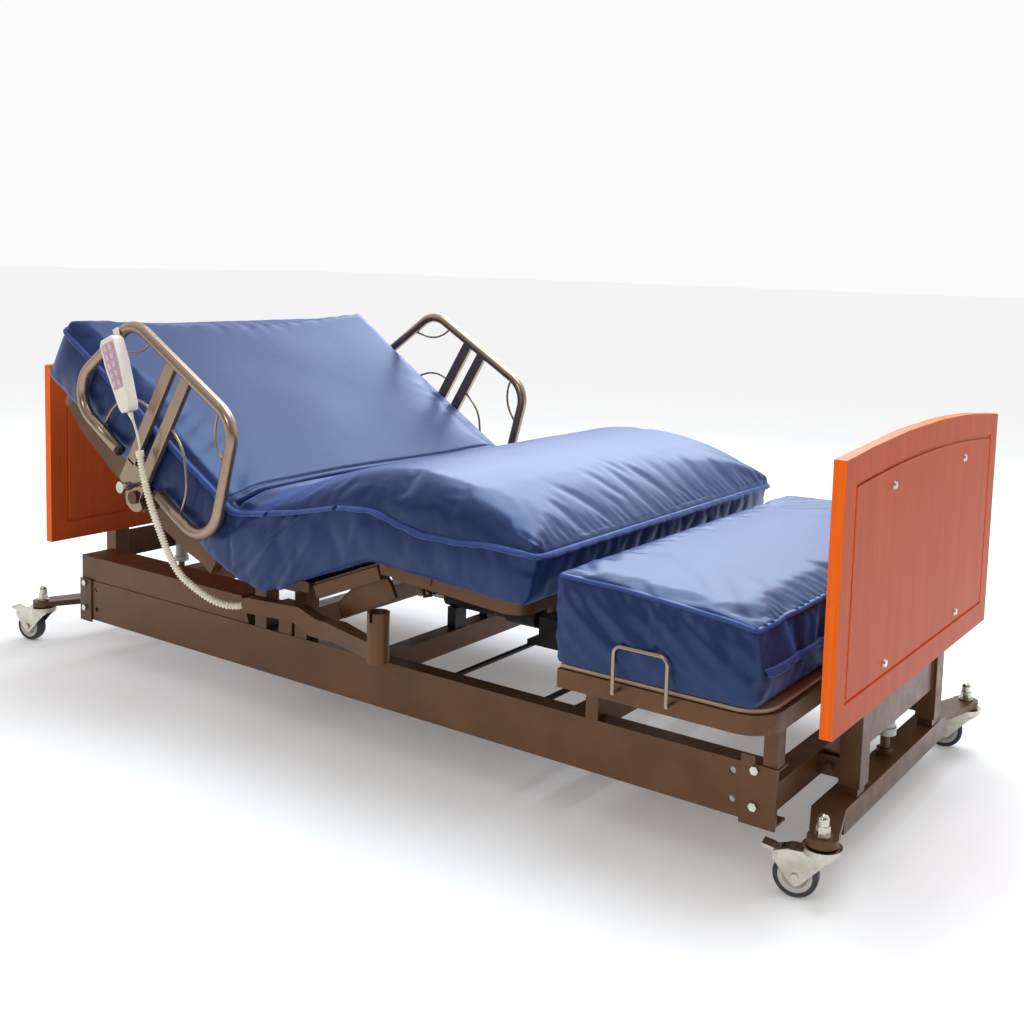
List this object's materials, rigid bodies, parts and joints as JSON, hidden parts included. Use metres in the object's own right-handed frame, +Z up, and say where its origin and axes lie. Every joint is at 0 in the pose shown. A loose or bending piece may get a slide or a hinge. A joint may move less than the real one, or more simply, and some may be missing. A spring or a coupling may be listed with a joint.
{
  "type": "adjustable hospital bed",
  "caption": "Low adjustable hospital bed on locking casters, with a raised back and knee, a separate foot mattress, pivoting assist rails, lifting columns and a hand pendant.",
  "frame": {"origin": "on the floor under the centre of the bed's bounding box, measured without the pendant's cord and conduit", "axes": "+X towards the foot end along the bed's length, +Y towards the far side rail, +Z up"},
  "size_m": [2.276, 1.168, 0.8735],
  "materials": {
    "frame_paint": "satin bronze-brown powder coat",
    "rail_paint": "satin bronze metallic powder coat",
    "zinc": "zinc plated",
    "bare_steel": "plain steel",
    "actuator_grey": "satin silver-grey",
    "wheel_core": "moulded light grey",
    "tyre": "matte rubber",
    "cherry_board": "cherry laminate, satin",
    "mattress_fabric": "coated navy nylon with a soft sheen",
    "deck_panel": "tan moulded panel",
    "black_plastic": "moulded, fine texture",
    "pendant_shell": "off-white moulded",
    "keypad": "membrane",
    "cord_jacket": "off-white flexible plastic"
  },
  "bodies": {
    "foot_base": {"foot_base": "frame_paint"},
    "frame": {"side_channel_near": "frame_paint", "side_channel_far": "frame_paint", "cross_members": "frame_paint", "link_brackets": "frame_paint", "head_covers": "frame_paint", "foot_columns": "frame_paint", "head_columns": "frame_paint", "foot_lift_motor": "actuator_grey", "head_lift_motor": "actuator_grey", "headboard": "cherry_board", "footboard": "cherry_board", "frame_bolts": "zinc", "control_box": "black_plastic", "seat_deck": "frame_paint", "foot_deck": "frame_paint", "foot_deck_panel": "deck_panel", "mattress_retainers": "rail_paint", "assist_socket_near": "frame_paint", "assist_socket_far": "frame_paint", "foot_pad": "mattress_fabric", "seat_pad": "mattress_fabric", "back_actuator": "black_plastic", "knee_actuator": "black_plastic", "conduit": "cord_jacket"},
    "head_base": {"head_base": "frame_paint"},
    "back": {"back_deck": "frame_paint", "back_pad": "mattress_fabric", "rail_mounts": "frame_paint"},
    "rail_near": {"side_rail_near": "rail_paint", "hand_pendant": "pendant_shell", "pendant_keypad": "keypad", "pendant_cord": "cord_jacket"},
    "rail_far": {"side_rail_far": "rail_paint"},
    "latch_near": {"latch_knob_near": "zinc"},
    "latch_far": {"latch_knob_far": "zinc"},
    "thigh": {"thigh_deck": "frame_paint", "thigh_pad": "mattress_fabric", "knee_levers": "frame_paint"},
    "calf": {"calf_deck": "frame_paint", "calf_pad": "mattress_fabric"},
    "back_rod": {"back_actuator_rod": "bare_steel"},
    "knee_rod": {"knee_actuator_rod": "bare_steel"},
    "caster_1": {"caster_fork_1": "zinc"},
    "wheel_1": {"caster_hub_1": "wheel_core", "caster_tyre_1": "tyre"},
    "pedal_1": {"brake_pedal_1": "zinc"},
    "caster_2": {"caster_fork_2": "zinc"},
    "wheel_2": {"caster_hub_2": "wheel_core", "caster_tyre_2": "tyre"},
    "pedal_2": {"brake_pedal_2": "zinc"},
    "caster_3": {"caster_fork_3": "zinc"},
    "wheel_3": {"caster_hub_3": "wheel_core", "caster_tyre_3": "tyre"},
    "pedal_3": {"brake_pedal_3": "zinc"},
    "caster_4": {"caster_fork_4": "zinc"},
    "wheel_4": {"caster_hub_4": "wheel_core", "caster_tyre_4": "tyre"},
    "pedal_4": {"brake_pedal_4": "zinc"}
  },
  "joints": [
    {"name": "lift", "type": "slide", "parent": "foot_base", "child": "frame", "axis": [0, 0, 1], "range_m": [0, 0.38]},
    {"name": "head_lift", "type": "slide", "parent": "frame", "child": "head_base", "axis": [0, 0, -1], "range_m": [0, 0.38]},
    {"name": "back_tilt", "type": "hinge", "parent": "frame", "child": "back", "pos_m": [-0.247, 0, 0.365], "axis": [0, 1, 0], "range_deg": [-32, 30], "deforming": ["conduit"]},
    {"name": "knee_lift", "type": "hinge", "parent": "frame", "child": "thigh", "pos_m": [-0.04, 0, 0.335], "axis": [0, -1, 0], "range_deg": [-22, 13]},
    {"name": "calf_follow", "type": "hinge", "parent": "thigh", "child": "calf", "pos_m": [0.17974, 0, 0.42378], "axis": [0, 1, 0], "range_deg": [-26.1, 15.5]},
    {"name": "back_rod_slide", "type": "slide", "parent": "frame", "child": "back_rod", "axis": [-1, 0, 0], "range_m": [-0.062, 0.058]},
    {"name": "knee_rod_slide", "type": "slide", "parent": "frame", "child": "knee_rod", "axis": [1, 0, 0], "range_m": [-0.036, 0.022]},
    {"name": "rail_near_fold", "type": "hinge", "parent": "back", "child": "rail_near", "pos_m": [-0.49908, -0.52, 0.47299], "axis": [0, 1, 0], "range_deg": [-60, 0], "deforming": ["pendant_cord"]},
    {"name": "rail_far_fold", "type": "hinge", "parent": "back", "child": "rail_far", "pos_m": [-0.49908, 0.52, 0.47299], "axis": [0, 1, 0], "range_deg": [-60, 0]},
    {"name": "latch_near_pull", "type": "slide", "parent": "rail_near", "child": "latch_near", "axis": [0, -1, 0], "range_m": [0, 0.008], "stiffness_N_per_m": 800},
    {"name": "latch_far_pull", "type": "slide", "parent": "rail_far", "child": "latch_far", "axis": [0, 1, 0], "range_m": [0, 0.008], "stiffness_N_per_m": 800},
    {"name": "swivel_1", "type": "hinge", "parent": "head_base", "child": "caster_1", "pos_m": [-1.04, -0.407, 0.1], "axis": [0, 0, 1], "continuous": true},
    {"name": "roll_1", "type": "hinge", "parent": "caster_1", "child": "wheel_1", "pos_m": [-1.07913, -0.41532, 0.038], "axis": [-0.2079, 0.9781, 0], "continuous": true},
    {"name": "brake_1", "type": "hinge", "parent": "caster_1", "child": "pedal_1", "pos_m": [-1.11043, -0.42197, 0.07], "axis": [-0.2079, 0.9781, 0], "range_deg": [0, 12]},
    {"name": "swivel_2", "type": "hinge", "parent": "head_base", "child": "caster_2", "pos_m": [-1.04, 0.407, 0.1], "axis": [0, 0, 1], "continuous": true},
    {"name": "roll_2", "type": "hinge", "parent": "caster_2", "child": "wheel_2", "pos_m": [-1.07913, 0.39868, 0.038], "axis": [-0.2079, 0.9781, 0], "continuous": true},
    {"name": "brake_2", "type": "hinge", "parent": "caster_2", "child": "pedal_2", "pos_m": [-1.11043, 0.39203, 0.07], "axis": [-0.2079, 0.9781, 0], "range_deg": [0, 12]},
    {"name": "swivel_3", "type": "hinge", "parent": "foot_base", "child": "caster_3", "pos_m": [1.105, -0.407, 0.1], "axis": [0, 0, 1], "continuous": true},
    {"name": "roll_3", "type": "hinge", "parent": "caster_3", "child": "wheel_3", "pos_m": [1.06587, -0.41532, 0.038], "axis": [-0.2079, 0.9781, 0], "continuous": true},
    {"name": "brake_3", "type": "hinge", "parent": "caster_3", "child": "pedal_3", "pos_m": [1.03457, -0.42197, 0.07], "axis": [-0.2079, 0.9781, 0], "range_deg": [0, 12]},
    {"name": "swivel_4", "type": "hinge", "parent": "foot_base", "child": "caster_4", "pos_m": [1.105, 0.407, 0.1], "axis": [0, 0, 1], "continuous": true},
    {"name": "roll_4", "type": "hinge", "parent": "caster_4", "child": "wheel_4", "pos_m": [1.06587, 0.39868, 0.038], "axis": [-0.2079, 0.9781, 0], "continuous": true},
    {"name": "brake_4", "type": "hinge", "parent": "caster_4", "child": "pedal_4", "pos_m": [1.03457, 0.39203, 0.07], "axis": [-0.2079, 0.9781, 0], "range_deg": [0, 12]}
  ],
  "couplings": [
    {"joint": "head_lift", "follows": "lift", "ratio": 1},
    {"joint": "calf_follow", "follows": "knee_lift", "ratio": 1.186},
    {"joint": "back_rod_slide", "follows": "back_tilt", "m_per_rad": 0.1075},
    {"joint": "knee_rod_slide", "follows": "knee_lift", "m_per_rad": 0.088}
  ]
}
